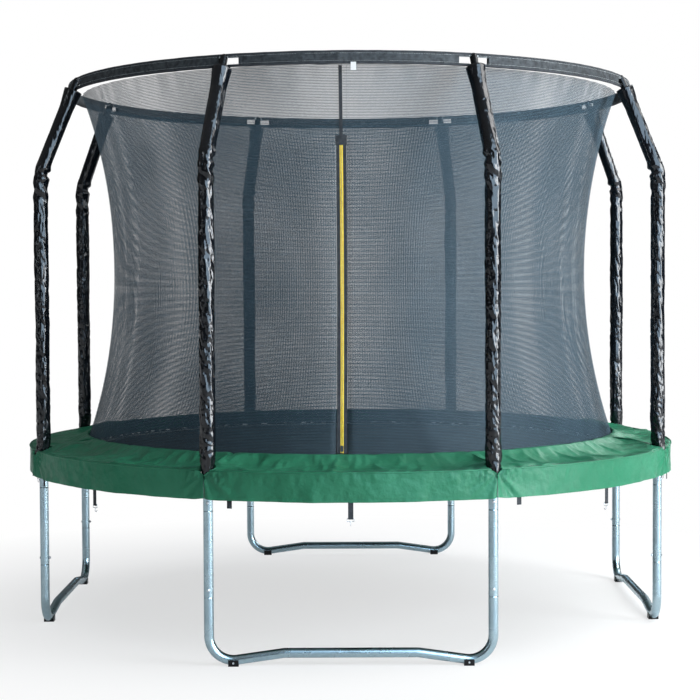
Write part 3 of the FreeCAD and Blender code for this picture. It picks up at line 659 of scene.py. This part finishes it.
def safety_pad():
    """Eight padded sections, with puckers along their outer seam; finish_pad settles them as cloth."""
    profile_count = len(pad_profile())
    sections = []
    for index in range(8):
        points, profile = pad_section(index)
        rows = len(points)
        pucker = []
        for row in points:
            new = []
            for j, (x, y, z) in enumerate(row):
                r, angle = math.hypot(x, y), math.atan2(y, x)
                run = angle * 1.5
                top = TOP_FIRST <= j <= TOP_LAST
                near_seam = math.exp(-((r - PAD_OUTER_R) / 0.045) ** 2) if top else 0.0
                near_lip = math.exp(-((r - PAD_INNER_R) / 0.040) ** 2) if top else 0.0
                lift = 0.0120 * near_seam * wrinkle(run * 24.0, 0, 0, index + 2.0)
                lift += 0.0070 * near_lip * wrinkle(run * 17.0, 4.0, 0, index + 9.0)
                if top:
                    lift += 0.0100 * wrinkle(run * 5.5, r * 7.0, 0, index + 5.0)
                    lift += 0.0055 * wrinkle(run * 14.0, r * 9.0, 0, index + 6.0)
                new.append((x, y, z + lift))
            pucker.append(new)
        faces, uv = grid_faces(rows, profile_count, wrap_columns=True, size=(1.12, 0.68))
        base = [tuple(p) for row in pucker for p in row]
        last_row = (rows - 1) * profile_count
        caps = [list(range(profile_count))[::-1], list(range(last_row, last_row + profile_count))]
        cap_uv = [profile[j % profile_count] for cap in caps for j in cap]
        obj = add("pad section %d" % (index + 1), base, faces + caps, GREEN, uv + cap_uv)
        sections.append(obj)
    return sections, profile_count


def finish_pad(sections, profile_count):
    """Settles each section, held at its seams and ends, then smooths it."""
    for obj in sections:
        count = len(obj.data.vertices)
        rows = count // profile_count
        held = []
        for v in range(count):
            row, column = divmod(v, profile_count)
            if column >= SEAM_COLUMN or column in (0, 5) or row in (0, rows - 1):
                held.append(v)
        settle(obj, held, SETTLE_FRAMES)
        for polygon in obj.data.polygons:
            polygon.use_smooth = len(polygon.vertices) == 4
        if not obj.data.materials:
            obj.data.materials.append(GREEN)
        subdivide = obj.modifiers.new("smooth", "SUBSURF")
        subdivide.levels = subdivide.render_levels = 1
        applied(obj)
        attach(obj, "frame")


def skirt():
    """The pad's hanging border, lapped at every pole, with soft folds and a bunch below each pole."""
    parts = []
    steps, drops = 168, 12
    lap = SKIRT_LAP / PAD_OUTER_R
    for index in range(8):
        points = []
        for i in range(steps + 1):
            share = i / steps
            angle = LEG_ANGLES[index] - lap + (TURN / 8 + 2 * lap) * share
            from_pole = min(share, 1 - share) * SKIRT_SECTION[0]
            column = []
            for j in range(drops + 1):
                down = j / drops
                dip = 0.016 * math.exp(-(from_pole / 0.016) ** 2)
                top_z = SEAM_Z - 0.001 - dip
                z = top_z - (top_z - SKIRT_BOTTOM_Z) * down
                run = angle * PAD_OUTER_R
                fold = 0.0095 * down * wrinkle(run * 7.0, 0.4 * down, 0, 31.0)
                fold += 0.0050 * down * wrinkle(run * 19.0, 0.8 * down, 0, 33.0)
                pucker = math.sin(math.pi * min(1.0, down * 2.2))
                fold += 0.0034 * pucker * wrinkle(run * 42.0, down * 1.5, 0, 35.0)
                ray = from_pole / (0.014 + abs(z - 0.772))
                near = math.exp(-(from_pole / 0.085) ** 2)
                fold += near * (0.0085 + 0.0095 * math.sin(ray * 5.2 + index))
                fold += near * 0.0045 * math.sin(ray * 11.0 + 2.0 * index)
                fold -= 0.0060 * math.exp(-(from_pole / 0.022) ** 2)
                clear = 0.0010 + 0.0022 * (share > 0.5) - 0.10 * max(0.0, from_pole - 0.045)
                fold = max(fold, clear)
                lift = 0.006 * math.exp(-(from_pole / 0.030) ** 2) * down
                lift += 0.0015 * down * wrinkle(run * 4.0, 9.0, 0, 37.0)
                column.append(at(PAD_OUTER_R + 0.0012 + fold, angle, z + lift))
            points.append(column)
        parts.append(grid("skirt part", points, GREEN, size=SKIRT_SECTION, flip=True))
    return joined("pad skirt", parts)


def piping():
    """The corded seam between the pad's top and its hanging border, broken at every pole."""
    parts = []
    for index in range(8):
        path = []
        for i in range(121):
            angle = LEG_ANGLES[index] + 0.0160 + (TURN / 8 - 0.0320) * i / 120
            z = SEAM_Z + 0.0005 + 0.0012 * wrinkle(angle * 34.0, 0, 0, 99.0)
            path.append(at(PAD_OUTER_R + 0.0005 + 0.0012 * wrinkle(angle * 51.0, 5.0, 0, 99.0), angle, z))
        parts.append(tube("piping part", path, 0.0040, GREEN, sides=8))
    return joined("pad piping", parts)


# ---------------------------------------------------------------- net, sleeve and door

def enclosure_net():
    """The net: one smooth sheet, slack by a few millimetres, slit for the door's zip."""
    columns, rows = 300, 64
    span = TURN - 2 * DOOR_HALF
    angles = [DOOR + DOOR_HALF + span * i / (columns - 2) for i in range(columns - 1)]
    angles += [DOOR]
    heights = [NET_BOTTOM_Z + (SLEEVE_BOTTOM_Z + 0.004 - NET_BOTTOM_Z) * j / rows for j in range(rows + 1)]
    points = []
    for angle in angles:
        column = []
        for z in heights:
            share = (z - NET_BOTTOM_Z) / (SLEEVE_BOTTOM_Z - NET_BOTTOM_Z)
            hang = math.sin(math.pi * min(1.0, max(0.0, share)))
            near_door = math.exp(-((math.remainder(angle - DOOR, TURN)) / 0.05) ** 2)
            slack = 0.006 * wrinkle(math.cos(angle) * 3.2, math.sin(angle) * 3.2, z * 0.9, 51.0)
            slack += 0.0035 * wrinkle(math.cos(angle) * 11.0, math.sin(angle) * 11.0, z * 1.3, 53.0)
            gather = 0.0030 * math.cos(64 * angle) * math.exp(-(share / 0.05) ** 2)
            gather += 0.0022 * math.cos(72 * angle) * math.exp(-((1 - share) / 0.035) ** 2)
            r = net_r(z) + (slack * hang + gather) * (1 - near_door)
            column.append(at(r, angle, z))
        points.append(column)

    def in_door(i, j):
        middle = (heights[j] + heights[j + 1]) / 2
        return i >= columns - 2 and ZIP_BOTTOM_Z + 0.002 < middle < HEADER_TOP_Z - 0.002

    obj = grid("net cloth", points, NET, wrap_rows=True, size=(TURN * 1.2, 1.75), skip=in_door)
    knit = obj.modifiers.new("knit depth", "SOLIDIFY")
    knit.thickness, knit.offset = NET_DEPTH, 0.0
    return applied(obj)


def circle(radius, z, count=180, start=0.0):
    return [at(radius, start + TURN * i / count, z) for i in range(count)]


def sleeve():
    """The webbing tunnel round the top ring, with windows beside the poles; one is closed."""
    gap, window = math.radians(0.9), (math.radians(1.1), math.radians(2.9))
    parts = []
    profile = []
    half, tall = 0.0085, (SLEEVE_TOP_Z - SLEEVE_BOTTOM_Z) / 2
    middle_z = (SLEEVE_TOP_Z + SLEEVE_BOTTOM_Z) / 2
    for k in range(24):
        turn = TURN * k / 24
        c, s = math.cos(turn), math.sin(turn)
        profile.append((half * math.copysign(abs(c) ** 0.6, c), tall * math.copysign(abs(s) ** 0.55, s)))
    for index in range(8):
        start = LEG_ANGLES[index] + gap
        end = LEG_ANGLES[index] + TURN / 8 - gap
        offsets = [0.0, window[0] - gap, (window[0] + window[1]) / 2 - gap, window[1] - gap]
        inner_start, inner_end = start + offsets[-1], end - offsets[-1]
        angles = [start + o for o in offsets[:-1]]
        angles += [inner_start + (inner_end - inner_start) * i / 110 for i in range(111)]
        angles += [end - o for o in reversed(offsets[:-1])]
        points = []
        for angle in angles:
            ring = []
            for x, z in profile:
                ripple = 0.0022 * wrinkle(angle * 30.0, z * 22.0, x * 60, 71.0)
                ripple += 0.0012 * wrinkle(angle * 90.0, z * 30.0, x * 60, 73.0)
                push = ripple * (1 if x > 0 else -1) * (1 - (abs(z) / tall) ** 4)
                sag = 0.0012 * wrinkle(angle * 22.0, 0, 0, 75.0)
                ring.append(at(RING_R + x + push, angle, middle_z + z + sag))
            points.append(ring)
        count = len(angles)
        last_window = (count - 2, count - 3, count - 4) if index != 7 else ()

        def in_window(i, j):
            a, b = profile[j][1], profile[(j + 1) % 24][1]
            level = (a + b) / 2 + middle_z
            beside = i in (0, 1, 2) or i in last_window
            return beside and SLEEVE_BOTTOM_Z + 0.010 < level < SLEEVE_TOP_Z - 0.012

        parts.append(grid("sleeve part", points, SLEEVE, wrap_columns=True, size=(1.03, 0.11),
                          skip=in_window))
    return joined("sleeve tunnel", parts)


def sleeve_hems():
    """The thick dark bindings along the sleeve's top and bottom edges."""
    parts = []
    for z, radius in ((SLEEVE_TOP_Z - 0.0015, 0.0048), (SLEEVE_BOTTOM_Z + 0.0015, 0.0055)):
        points = []
        for i in range(360):
            angle = TURN * i / 360
            points.append(at(RING_R + 0.0030, angle, z + 0.0009 * wrinkle(angle * 26.0, z, 0, 77.0)))
        parts.append(tube("hem part", points, radius, TAPE, sides=8, closed=True))
    return joined("sleeve hems", parts)


def door_line(offset_across, out, low, high, count=90):
    """Points up the door, at a distance across from its middle and out from the net."""
    points = []
    for i in range(count + 1):
        z = low + (high - low) * i / count
        turn = math.asin((z - NET_WAIST_Z) / NET_ARC_R)
        reach = NET_ARC_R - out
        r = NET_WAIST_R + NET_ARC_R - reach * math.cos(turn)
        level = NET_WAIST_Z + reach * math.sin(turn)
        c, s = math.cos(DOOR), math.sin(DOOR)
        points.append((r * c - offset_across * s, r * s + offset_across * c, level))
    return points


# ---------------------------------------------------------------- mat and springs

def jumping_mat():
    """The mat: stretched flat, drawn into shallow scallops at its edge by the springs."""
    radii = [0.0, 0.15, 0.35, 0.55, 0.75, 0.92, 1.06, 1.16, 1.21, 1.236, 1.250, 1.262, 1.2725]
    columns = 256
    points = []
    for i in range(columns):
        angle = TURN * i / columns + LEG_ANGLES[0]
        row = []
        for r in radii:
            pull = math.cos(SPRINGS * (angle - LEG_ANGLES[0]) - math.pi)
            edge = max(0.0, (r - 1.16) / 0.113)
            slack = wrinkle(r * math.cos(angle) * 2, r * math.sin(angle) * 2, 0, 91.0)
            z = MAT_Z + 0.0012 * pull * edge ** 2 + 0.0025 * slack * (1 - edge)
            row.append(at(r + 0.0014 * pull * edge ** 3, angle, z))
        points.append(row)
    count = len(radii)
    vertices = [p for row in points for p in row[1:]]
    vertices.append((0, 0, MAT_Z))
    centre = len(vertices) - 1
    faces, uv = [], []
    for i in range(columns):
        here, after = i * (count - 1), (i + 1) % columns * (count - 1)
        faces.append([centre, here, after])
        for j in range(count - 2):
            faces.append([here + j, here + j + 1, after + j + 1, after + j])
    for face in faces:
        uv.extend((vertices[v][0], vertices[v][1]) for v in face)
    return add("mat cloth", vertices, faces, MAT, uv)


def spring_points():
    """The centreline of one extension spring at angle 0: hook, coil and tail."""
    points = [(APEX_R - HOOK_R * math.cos(math.radians(a)), 0.0, MAT_Z + HOOK_R * math.sin(math.radians(a)))
              for a in range(110, -181, -29)]
    turns, per_turn = 22, 8
    for i in range(turns * per_turn + 1):
        share = i / (turns * per_turn)
        cone = min(1.0, share * 12, (1 - share) * 12 + 0.15)
        angle = TURN * i / per_turn
        radius = COIL_R * cone
        out = COIL_START_R + (COIL_END_R - COIL_START_R) * share
        points.append((out, radius * math.cos(angle), MAT_Z + radius * math.sin(angle)))
    points += [(1.474, 0.0, MAT_Z), (1.488, 0.0, MAT_Z)]
    return points


def springs():
    """Sixteen groups of four springs, each group one mesh."""
    shape = spring_points()
    for group in range(16):
        parts = []
        for k in range(4):
            angle = LEG_ANGLES[0] + TURN / SPRINGS * (4 * group + k + 0.5)
            c, s = math.cos(angle), math.sin(angle)
            path = [(x * c - y * s, x * s + y * c, z) for x, y, z in shape]
            parts.append(tube("spring part", path, WIRE_R, WIRE, sides=5))
        obj = joined("springs %d" % (group + 1), parts)
        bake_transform(obj)
        if group == 0:
            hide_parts("springs")


# ---------------------------------------------------------------- the piece list

dress(["leg_base_%d" % i for i in range(1, 5)], STEEL)
dress(["leg_extension_%d" % i for i in range(1, 9)], STEEL)
dress(["top_rail_%d" % i for i in range(1, 9)] + ["t_sockets"], STEEL)
dress(["lower_pole_%d" % i for i in range(1, 9)], STEEL)
dress(["upper_pole_%d" % i for i in range(1, 9)], STEEL)
dress(["leg_bolts", "pole_bolts"], BOLT)
dress(["v_rings", "strap_hooks"], WIRE)
dress(["foot_caps", "pole_caps"], BLACK)
dress(["pole_foam"], FOAM)
dress(["ring_rods"], ROD)
dress(["ring_ferrules"], STEEL)
dress(["zip_slider", "zip_pull_outside", "zip_pull_inside"], DARK_METAL)

covers = [pole_cover(i) for i in range(8)]
for cover in covers:
    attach(cover, "frame")
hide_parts("pole_covers")

sections, profile_count = safety_pad()
finish_pad(sections, profile_count)
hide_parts("safety_pad")
border = skirt()
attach(border, "frame")
cording = piping()
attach(cording, "frame")

net = enclosure_net()
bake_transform(net)
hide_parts("enclosure_net")

band = sleeve()
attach(band, "frame")
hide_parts("net_top_sleeve")
hems = sleeve_hems()
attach(hems, "frame")

mat = jumping_mat()
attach(mat, "mat")
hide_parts("jumping_mat")
dress(["mat_webbing", "pad_straps", "zip_header", "zip_band"], TAPE)
dress(["zip_coil"], YELLOW)
springs()

# Zip teeth, stitches and lacing
teeth = [(door_line(side * 0.0021, 0.0019, ZIP_BOTTOM_Z + 0.008, ZIP_TOP_Z - 0.004), False)
         for side in (-1, 1)]
zip_teeth = repeated("zip teeth", teeth, small_box(0.0016, 0.0026, 0.0017), 0.0027, YELLOW)
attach(zip_teeth, "frame")

seams = [(door_line(side * x, 0.0010, ZIP_BOTTOM_Z + 0.003, ZIP_TOP_Z - 0.003), False)
         for side in (-1, 1) for x in (0.0095, 0.0195)]
door_stitches = repeated("door stitches", seams, small_box(0.0007, 0.0009, 0.0032), 0.0048, THREAD, 0.06)
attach(door_stitches, "frame")

ring_seams = [(circle(RING_R + 0.0088, z, 360), True)
              for z in (SLEEVE_BOTTOM_Z + 0.0095, SLEEVE_TOP_Z - 0.0085)]
sleeve_stitches = repeated("sleeve stitches", ring_seams, small_box(0.0010, 0.0011, 0.0042), 0.0070,
                           PALE_THREAD, 0.08)
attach(sleeve_stitches, "frame")

pad_seam = [(circle(PAD_OUTER_R - 0.006, SEAM_Z + 0.0062, 360), True)]
pad_stitches = repeated("pad stitches", pad_seam, small_box(0.0013, 0.0013, 0.0055), 0.0085, THREAD, 0.1)
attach(pad_stitches, "frame")

mat_seams = [(circle(r, MAT_Z + 0.0040, 360), True) for r in (1.241, 1.262, 1.281)]
mat_stitches = repeated("mat stitches", mat_seams, small_box(0.0012, 0.0012, 0.0060), 0.0090,
                        PALE_THREAD, 0.1)
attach(mat_stitches, "mat")

lace_line = [(circle(1.2775, MAT_Z + 0.0120, 256, LEG_ANGLES[0]), True)]
lacing = repeated("net lacing", lace_line, small_box(0.0036, 0.0036, 0.034), 0.0570, PALE_THREAD, 0.12)
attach(lacing, "mat")

foot_hem_points = [at(net_r(NET_BOTTOM_Z) + 0.0015 + 0.002 * wrinkle(i * 0.21, 0, 0, 95.0), TURN * i / 300,
                      NET_BOTTOM_Z + 0.006) for i in range(300)]
foot_hem = tube("net foot hem", foot_hem_points, 0.0052, TAPE, closed=True)
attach(foot_hem, "mat")

TAG_SIZE, TAG_ANGLE = (0.022, 0.034), math.radians(-89.2)
label_points = []
for i in range(5):
    across = -TAG_SIZE[0] / 2 + TAG_SIZE[0] * i / 4
    column = []
    for j in range(7):
        drop = TAG_SIZE[1] * j / 6
        column.append(at(RING_R + 0.0085 + 0.004 * (j / 6) ** 2, TAG_ANGLE + across / RING_R,
                         SLEEVE_BOTTOM_Z + 0.004 - drop))
    label_points.append(column)
label = grid("blank tag", label_points, WHITE, size=TAG_SIZE, flip=True)
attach(label, "frame")


# ---------------------------------------------------------------- floor, light and camera

def floor_paint():
    """Pale matt floor that keeps the shadow near the object and is seen as plain white far off."""
    m = Finish("floor", (0.93, 0.935, 0.94), 0.9, specular=0.0)
    distance = m.node("ShaderNodeVectorMath", operation="LENGTH")
    m.link(m.coords(), distance.inputs[0])
    far = m.remap(distance.outputs["Value"], 1.2, 3.0, 0.62, 1.0)
    path = m.node("ShaderNodeLightPath")
    gloss = m.maths("MULTIPLY", path.outputs["Is Glossy Ray"], 0.30)
    seen = m.maths("MAXIMUM", path.outputs["Is Camera Ray"], gloss)
    white = m.node("ShaderNodeEmission")
    blend = m.node("ShaderNodeMixShader")
    m.link(m.maths("MULTIPLY", far, seen), blend.inputs[0])
    m.link(m.surface.outputs[0], blend.inputs[1])
    m.link(white.outputs[0], blend.inputs[2])
    m.link(blend.outputs[0], m.tree.nodes["Material Output"].inputs["Surface"])
    return m.material


def stage():
    mesh = bpy.data.meshes.new("floor")
    mesh.from_pydata([(-40, -40, 0), (40, -40, 0), (40, 40, 0), (-40, 40, 0)], [], [(0, 1, 2, 3)])
    floor = bpy.data.objects.new("floor", mesh)
    bpy.context.scene.collection.objects.link(floor)
    mesh.materials.append(floor_paint())
    for name, place, size, power, tint in (
        ("key", (6.6, -4.2, 2.6), (3.2, 4.8), 760, (0.93, 0.97, 1.0)),
        ("sheen", (3.8, -7.2, 4.0), (6.8, 7.0), 1050, (0.60, 0.80, 1.0)),
        ("strip_left", (-5.4, -4.8, 2.4), (0.35, 4.4), 26, (0.84, 0.93, 1.0)),
        ("back", (5.0, 5.0, 4.6), (3.0, 3.0), 150, (0.95, 0.98, 1.0)),
        ("over", (4.2, -0.8, 5.8), (3.4, 3.4), 225, (1.0, 1.0, 1.0)),
    ):
        light = bpy.data.lights.new(name, "AREA")
        light.shape, light.size, light.size_y = "RECTANGLE", size[0], size[1]
        light.energy, light.color = power, tint
        lamp = bpy.data.objects.new(name, light)
        lamp.location = place
        lamp.visible_diffuse = name != "sheen"  # a tall light that only shows in gloss
        lamp.rotation_euler = (Vector((0, 0, 1.0)) - Vector(place)).to_track_quat("-Z", "Y").to_euler()
        bpy.context.scene.collection.objects.link(lamp)
    camera = bpy.data.cameras.new("camera")
    camera.lens, camera.sensor_width = 84.25, 36.0
    view = bpy.data.objects.new("camera", camera)
    view.location = (0.001, -7.978, 1.524)
    view.rotation_euler = (math.radians(90 - 2.14), math.radians(0.25), 0)
    bpy.context.scene.collection.objects.link(view)
    bpy.context.scene.camera = view


def white_world():
    """White where it is seen, a softer grey as light, and a white sky over a dimmer horizon in gloss."""
    world = bpy.data.worlds.new("studio")
    bpy.context.scene.world = world
    world.use_nodes = True
    nodes, link = world.node_tree.nodes, world.node_tree.links.new
    nodes.clear()
    path = nodes.new("ShaderNodeLightPath")
    seen, fill = nodes.new("ShaderNodeBackground"), nodes.new("ShaderNodeBackground")
    seen.inputs["Color"].default_value = (1, 1, 1, 1)
    seen.inputs["Strength"].default_value = 1.0
    fill.inputs["Color"].default_value = (0.86, 0.93, 1.0, 1)
    fill.inputs["Strength"].default_value = 0.34
    mirrored, place = nodes.new("ShaderNodeBackground"), nodes.new("ShaderNodeTexCoord")
    split, rise = nodes.new("ShaderNodeSeparateXYZ"), nodes.new("ShaderNodeMapRange")
    for name, number in (("From Min", 0.05), ("From Max", 0.80), ("To Min", 0.04), ("To Max", 0.34)):
        rise.inputs[name].default_value = number
    link(place.outputs["Generated"], split.inputs[0])
    link(split.outputs["Z"], rise.inputs["Value"])
    link(rise.outputs["Result"], mirrored.inputs["Strength"])
    mirrored.inputs["Color"].default_value = (0.95, 0.98, 1, 1)
    direct = nodes.new("ShaderNodeMath")
    direct.operation = "MAXIMUM"
    link(path.outputs["Is Camera Ray"], direct.inputs[0])
    link(path.outputs["Is Transmission Ray"], direct.inputs[1])
    gloss, mix, out = (nodes.new("ShaderNodeMixShader"), nodes.new("ShaderNodeMixShader"),
                       nodes.new("ShaderNodeOutputWorld"))
    link(path.outputs["Is Glossy Ray"], gloss.inputs[0])
    link(fill.outputs[0], gloss.inputs[1])
    link(mirrored.outputs[0], gloss.inputs[2])
    link(direct.outputs[0], mix.inputs[0])
    link(gloss.outputs[0], mix.inputs[1])
    link(seen.outputs[0], mix.inputs[2])
    link(mix.outputs[0], out.inputs[0])


stage()
white_world()
scene = bpy.context.scene
scene.view_settings.view_transform = "Standard"
scene.view_settings.look = "None"
scene.cycles.transparent_max_bounces = 24
scene.cycles.max_bounces = 8
